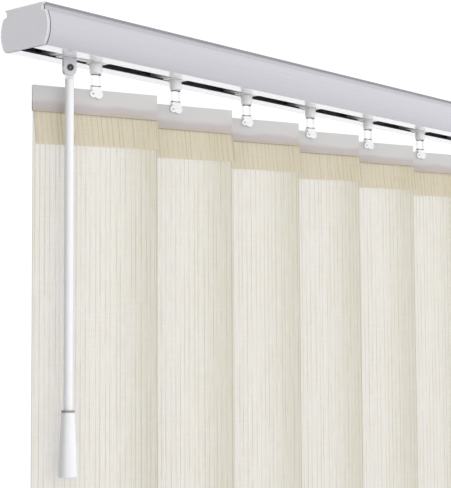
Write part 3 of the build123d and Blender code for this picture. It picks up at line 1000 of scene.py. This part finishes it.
@dataclass
class Vanes:
    """The cloth vanes: each is cut flat, folded over at the top and round the weight at the foot."""

    tilt_deg: float = 21.0
    width: float = VANE_WIDTH
    cloth: float = 0.4 * MM
    layer_gap: float = 0.1 * MM
    flap_drop: float = 25.8 * MM
    flap_rows: int = 6
    flap_skew: float = 0.09
    flap_rise: float = 1.8 * MM
    pocket_depth: float = 2.45 * MM
    pocket_height: float = 38.0 * MM
    pocket_slope: float = 6.0 * MM
    seam: float = 4.0 * MM
    bow: float = 0.5 * MM
    columns: int = 24
    panel_rows: int = 64
    fold_steps: int = 6
    pocket_rows: int = 6
    cross_from: float = 0.9
    still_foot: float = 0.06
    still_top: float = 0.95
    still_fade: float = 0.2
    curl_rest: float = 0.6
    wave_turn: float = 6.0
    wave_step: float = 1.7
    crease_deg: float = 50.0

    def fold_line(self, top: float, foot: float) -> list[Vector]:
        """Follow the cloth from the flap's edge, over the top fold and down to the pocket's seam.

        Args:
            top: The height of the top fold.
            foot: The height of the vane's foot.

        Returns:
            Points across the folded cloth, with the depth as y and the height as z.
        """
        layer = (self.layer_gap + self.cloth) / 2
        crown = top - self.cloth / 2 - layer
        base = foot + self.cloth / 2
        points = []
        for row in range(self.flap_rows + 1):
            points.append(Vector((0, -layer, crown - self.flap_drop * (1 - row / self.flap_rows))))
        for step in range(1, self.fold_steps):
            angle = math.pi * step / self.fold_steps
            points.append(Vector((0, -layer * math.cos(angle), crown + layer * math.sin(angle))))
        panel_foot = base + layer
        for row in range(self.panel_rows + 1):
            share = row / self.panel_rows
            depth = layer - 2 * layer * max(0.0, share - self.cross_from) / (1 - self.cross_from)
            points.append(Vector((0, depth, crown + (panel_foot - crown) * share)))
        points.append(Vector((0, layer, base)))
        points.append(Vector((0, self.pocket_depth - layer, base)))
        for row in range(self.pocket_rows + 1):
            rise = (self.pocket_height - layer) * row / self.pocket_rows
            points.append(Vector((0, self.pocket_depth, panel_foot + rise)))
        slope_top = foot + self.pocket_height + self.pocket_slope
        points.append(Vector((0, layer, slope_top)))
        points.append(Vector((0, layer, slope_top + self.seam)))
        return points

    def cut_and_fold(self, number: int) -> tuple[bpy.types.Object, float]:
        """Cut one vane flat and fold it to its shape.

        Args:
            number: The vane's number from the wand's end.

        Returns:
            The folded cloth in its place, as one sheet along its middle, and its length when flat.
        """
        low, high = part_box(f"vane_{number}")
        line = self.fold_line(high.z, low.z)
        run = [0.0]
        for before, after in zip(line, line[1:]):
            run.append(run[-1] + (after - before).length)
        rows = len(line) - 1
        bpy.ops.object.select_all(action="DESELECT")
        bpy.ops.mesh.primitive_grid_add(x_subdivisions=self.columns, y_subdivisions=rows, size=1.0)
        cloth = bpy.context.object
        cloth.name = f"vane_{number}_cloth"
        cloth.data.name = cloth.name
        index = []
        for vertex in cloth.data.vertices:
            index.append((round((vertex.co.x + 0.5) * self.columns), round((vertex.co.y + 0.5) * rows)))
        middle = (low + high) / 2
        place = Matrix.Translation((middle.x, 0, 0)) @ Matrix.Rotation(math.radians(-self.tilt_deg), 4, "Z")
        uv = cloth.data.uv_layers.active.data
        for loop in cloth.data.loops:
            column, row = index[loop.vertex_index]
            uv[loop.index].uv = (self.width * column / self.columns + number * CLOTH_STRIDE, run[row])
        flap_end = run[self.flap_rows]
        for vertex, (column, row) in zip(cloth.data.vertices, index):
            point = line[row].copy()
            across = column / self.columns - 0.5
            point.x = self.width * across
            if run[row] < flap_end:
                below = flap_end - run[row]
                point.x += self.flap_skew * below
                point.z += self.flap_rise * (across + 0.5) * below / flap_end
            point.y += self.sway(number, across, point.z, high.z, low.z)
            vertex.co = place @ point
        smooth(cloth, self.crease_deg)
        return cloth, run[-1]

    def sway(self, number: int, across: float, z: float, top: float, foot: float) -> float:
        """Give the hanging cloth a slight bow that fades out at its hanger and its weight.

        Args:
            number: The vane's number.
            across: The place across the width, from -0.5 to 0.5.
            z: The height of the point.
            top: The height of the top fold.
            foot: The height of the foot.

        Returns:
            How far the cloth stands off its flat place.
        """
        share = (z - foot) / (top - foot)
        above = max(0.0, min(1.0, (share - self.still_foot) / self.still_fade))
        below = max(0.0, min(1.0, (self.still_top - share) / self.still_fade))
        curl = math.cos(math.pi * across) - self.curl_rest
        wave = math.sin(self.wave_turn * share + self.wave_step * number) * across
        return self.bow * (above * below) * (curl + wave)

    def build(self) -> None:
        """Build and dress every vane."""
        # Sheer weave: matt, with darker slubs, and lighter where the window shines through one layer.
        weave = SlubCloth("slub_woven_polyester_cream", "#DEDBC0", 0.85).material()
        # The weight is plain matt plastic, hidden in its pocket.
        plate = Moulding("moulded_weight_plate_white", "#DDDCD8", 0.5, shade="#D0CFCB").material()
        for number in VANE_NUMBERS:
            cloth, length = self.cut_and_fold(number)
            dress(cloth, weave)
            stand_for(cloth, f"vane_{number}")
            dress_solid(f"weight_{number}", plate)


@dataclass
class Wand:
    """The wand that draws and turns the vanes: yoke, rivet, rod and grip."""

    edge: float = 0.3 * MM
    fine_edge: float = 0.1 * MM
    ring_foot: float = -257.1 * MM

    def build(self) -> None:
        """Build and dress the wand's pieces."""
        # A satin grey yoke, a black rivet, and gloss white acrylic that shades softly round the rod.
        yoke = Moulding("moulded_nylon_grey", "#D2D2D5", 0.35, shade="#CCCCD0").material()
        rivet = BareMetal("blackened_steel_rivet", "#4A4A4E", 0.35, shade="#38383C").material()
        even = {"grain_depth_mm": 0.0}
        white = Moulding("extruded_gloss_white_acrylic", "#E9E9E9", 0.12, shade="#E3E3E3", **even).material()
        # The ring round the grip's mouth takes a grey: painted shade in the joint between rod and grip,
        # which reads as a dark line.
        ring = Moulding("painted_shade_ring_at_grip_mouth", "#96968F", 0.4, shade="#8E8E88", **even).material()
        for node, slot, materials, edge in (
            ("wand_yoke", Slot.YOKE, (yoke,), self.edge),
            ("wand_pin", Slot.PIN, (rivet,), self.fine_edge),
            ("wand_rod", Slot.WAND, (white,), self.fine_edge),
            ("wand_grip", Slot.WAND, (white, ring), self.fine_edge),
        ):
            piece = softened_copy(node, f"{node}_dressed", edge)
            dress(piece, *materials)
            if ring in materials:
                for face in piece.data.polygons:
                    face.material_index = int(face.center.z > self.ring_foot)
            stand_for(piece, node)


@dataclass(frozen=True)
class Glow:
    """A soft bright side of the surroundings: its direction, the cosines of its edge and its light."""

    way: tuple[float, float, float]
    edge: tuple[float, float]
    light: tuple[float, float]


@dataclass
class Studio:
    """The pale floor, the soft light and the camera."""

    eye: tuple[float, float, float] = (-0.89107, -0.68656, -0.22640)
    yaw_deg: float = -48.966
    pitch_deg: float = 4.724
    roll_deg: float = -0.293
    focal_px: float = 1445.4
    sensor_mm: float = 36.0
    floor_gap: float = 4 * MM
    floor_size: float = 2.4
    floor_colour: str = "#EEEEEE"
    floor_shade: str = "#ECECEC"
    clip: tuple[float, float] = (0.01, 100.0)
    room: Glow = Glow((0.1, -0.99, -0.05), (-0.2, 0.25), (0.04, 1.3))
    sweep: Glow = Glow((0.74, 0.64, -0.2), (0.75, 0.92), (0.0, 1.12))
    window: Glow = Glow((0.3, 0.9, 0.32), (0.7, 0.88), (0.0, 2.25))
    air_colour: str = "#FAFAFC"
    backdrop_colour: str = "#FFFFFF"
    backdrop_strength: float = 1.05
    lamp_place: tuple[float, float, float] = (-0.4, -3.2, 1.2)
    lamp_target: tuple[float, float, float] = (0.0, 0.0, -0.1)
    lamp_size: float = 3.0
    lamp_watts: float = 12.0

    def shine(self, tree: bpy.types.NodeTree, way: Socket, glow: Glow) -> bpy.types.Node:
        """Brighten the surroundings round one direction.

        Args:
            tree: The world's node tree.
            way: The direction that is looked at.
            glow: The bright side.

        Returns:
            A node that gives the light.
        """
        facing = add_node(tree, "VectorMath", {0: way, 1: glow.way}, operation="DOT_PRODUCT")
        limits = {"Value": facing.outputs["Value"], "From Min": glow.edge[0], "From Max": glow.edge[1]}
        limits.update({"To Min": glow.light[0], "To Max": glow.light[1]})
        return add_node(tree, "MapRange", limits, interpolation_type="SMOOTHSTEP")

    def camera(self) -> None:
        """Stand the camera where the picture was taken from."""
        yaw, pitch, roll = (math.radians(a) for a in (self.yaw_deg, self.pitch_deg, self.roll_deg))
        ahead = Vector((-math.sin(yaw) * math.cos(pitch), math.cos(yaw) * math.cos(pitch), math.sin(pitch)))
        level = Vector((math.cos(yaw), math.sin(yaw), 0))
        above = level.cross(ahead)
        right = math.cos(roll) * level + math.sin(roll) * above
        up = math.cos(roll) * above - math.sin(roll) * level
        data = bpy.data.cameras.new("camera")
        data.sensor_width = self.sensor_mm
        data.sensor_fit = "AUTO"
        data.lens = self.focal_px * self.sensor_mm / max(PHOTO_WIDTH_PX, PHOTO_HEIGHT_PX)
        data.clip_start, data.clip_end = self.clip
        camera = bpy.data.objects.new("camera", data)
        turn = Matrix((right, up, -ahead)).transposed().to_4x4()
        camera.matrix_world = Matrix.Translation(self.eye) @ turn
        bpy.context.scene.collection.objects.link(camera)
        bpy.context.scene.camera = camera

    def floor(self) -> None:
        """Lay a pale floor just under the vanes."""
        bpy.ops.object.select_all(action="DESELECT")
        z = CAD_BOX[0][2] - self.floor_gap
        bpy.ops.mesh.primitive_plane_add(size=self.floor_size, location=(0, 0, z))
        floor = bpy.context.object
        floor.name = "floor"
        bpy.ops.object.transform_apply(location=True, rotation=True, scale=True)
        # Flat paint: pale and even, with no gloss.
        even = {"shade": self.floor_shade, "grain_depth_mm": 0.0}
        dress(floor, Moulding("pale_painted_floor", self.floor_colour, 0.7, **even).material())

    def world(self) -> None:
        """Light the blind from the room and, more softly, from a window behind it, before plain white."""
        world = bpy.data.worlds.new("studio")
        bpy.context.scene.world = world
        world.use_nodes = True
        tree = world.node_tree
        tree.nodes.clear()
        way = add_node(tree, "TexCoord").outputs["Generated"]
        strength: Socket = 0.0
        for glow in (self.room, self.sweep, self.window):
            light = self.shine(tree, way, glow)
            brighter = add_node(tree, "Math", {0: strength, 1: light.outputs[0]}, operation="MAXIMUM")
            strength = brighter.outputs[0]
        lit = add_node(tree, "Background", {"Color": linear(self.air_colour), "Strength": strength})
        backdrop = {"Color": linear(self.backdrop_colour), "Strength": self.backdrop_strength}
        white = add_node(tree, "Background", backdrop)
        seen = add_node(tree, "LightPath").outputs["Is Camera Ray"]
        mixed = add_node(tree, "MixShader", {0: seen, 1: lit.outputs[0], 2: white.outputs[0]})
        add_node(tree, "OutputWorld", {"Surface": mixed.outputs[0]})

    def lamp(self) -> None:
        """Hang one square soft light in front of the blind."""
        data = bpy.data.lights.new("front_light", "AREA")
        data.shape = "SQUARE"
        data.size = self.lamp_size
        data.energy = self.lamp_watts
        lamp = bpy.data.objects.new("front_light", data)
        away = Vector(self.lamp_place) - Vector(self.lamp_target)
        turn = away.to_track_quat("Z", "Y").to_matrix().to_4x4()
        lamp.matrix_world = Matrix.Translation(self.lamp_place) @ turn
        lamp.visible_camera = False
        bpy.context.scene.collection.objects.link(lamp)

    def build(self) -> None:
        """Set up the whole studio."""
        view = bpy.context.scene.view_settings
        view.view_transform = "Standard"
        view.look = "None"
        self.camera()
        self.floor()
        self.world()
        self.lamp()


def main() -> None:
    """Build every sub-assembly in order."""
    logging.basicConfig(level=logging.INFO, format="%(message)s")
    for part in (Headrail(), InnerWorks(), Hooks(), Hangers(), Vanes(), Wand(), Studio()):
        log.info("building %s", type(part).__name__)
        part.build()


if __name__ == "__main__":
    main()
